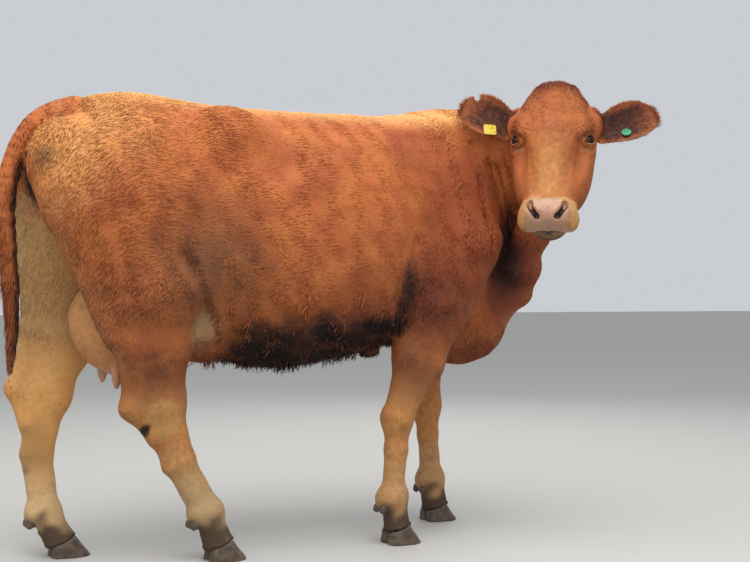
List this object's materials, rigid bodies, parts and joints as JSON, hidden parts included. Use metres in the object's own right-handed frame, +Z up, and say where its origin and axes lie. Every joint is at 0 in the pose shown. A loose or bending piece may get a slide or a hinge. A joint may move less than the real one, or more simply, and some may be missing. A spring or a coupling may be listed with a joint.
{
  "type": "cow",
  "caption": "Life-size still model of a polled red-tan beef cow, walking, with its head turned back to its right and a tag in each ear.",
  "frame": {"origin": "middle of the footprint, on the floor the hooves stand on", "axes": "+X the way the body faces, +Y the cow's left, +Z up"},
  "size_m": [1.954, 0.941, 1.4874],
  "materials": {
    "coat": "short dense red-tan hair, lying flat, curly on the forehead and quarters",
    "pale_coat": "short pale tan hair, muddy at the fetlocks",
    "switch": "long dark brown hair",
    "bare_skin": "bare pinkish-tan skin, soft sheen",
    "claw": "dark horn, dull and dusty",
    "eye": "wet, nearly black",
    "tag_yellow": "bare yellow plate",
    "tag_green": "bare green button"
  },
  "bodies": {
    "root": {"trunk": "coat", "neck": "coat", "dewlap": "coat", "eye_right": "eye", "eye_left": "eye", "head": "coat", "ear_right": "coat", "ear_left": "coat", "ear_tag_right": "tag_yellow", "ear_tag_left": "tag_green", "udder": "bare_skin", "tail": "coat", "tail_switch": "switch", "foreleg_right_dewclaw_right": "claw", "foreleg_right_dewclaw_left": "claw", "foreleg_right_forearm": "coat", "foreleg_right_cannon": "pale_coat", "foreleg_right_claw_left": "claw", "foreleg_right_claw_right": "claw", "foreleg_left_dewclaw_right": "claw", "foreleg_left_dewclaw_left": "claw", "foreleg_left_forearm": "coat", "foreleg_left_cannon": "pale_coat", "foreleg_left_claw_left": "claw", "foreleg_left_claw_right": "claw", "hindleg_right_dewclaw_right": "claw", "hindleg_right_dewclaw_left": "claw", "hindleg_right_thigh": "coat", "hindleg_right_gaskin": "coat", "hindleg_right_cannon": "pale_coat", "hindleg_right_claw_left": "claw", "hindleg_right_claw_right": "claw", "hindleg_left_dewclaw_right": "claw", "hindleg_left_dewclaw_left": "claw", "hindleg_left_thigh": "coat", "hindleg_left_gaskin": "coat", "hindleg_left_cannon": "pale_coat", "hindleg_left_claw_left": "claw", "hindleg_left_claw_right": "claw"}
  },
  "joints": []
}
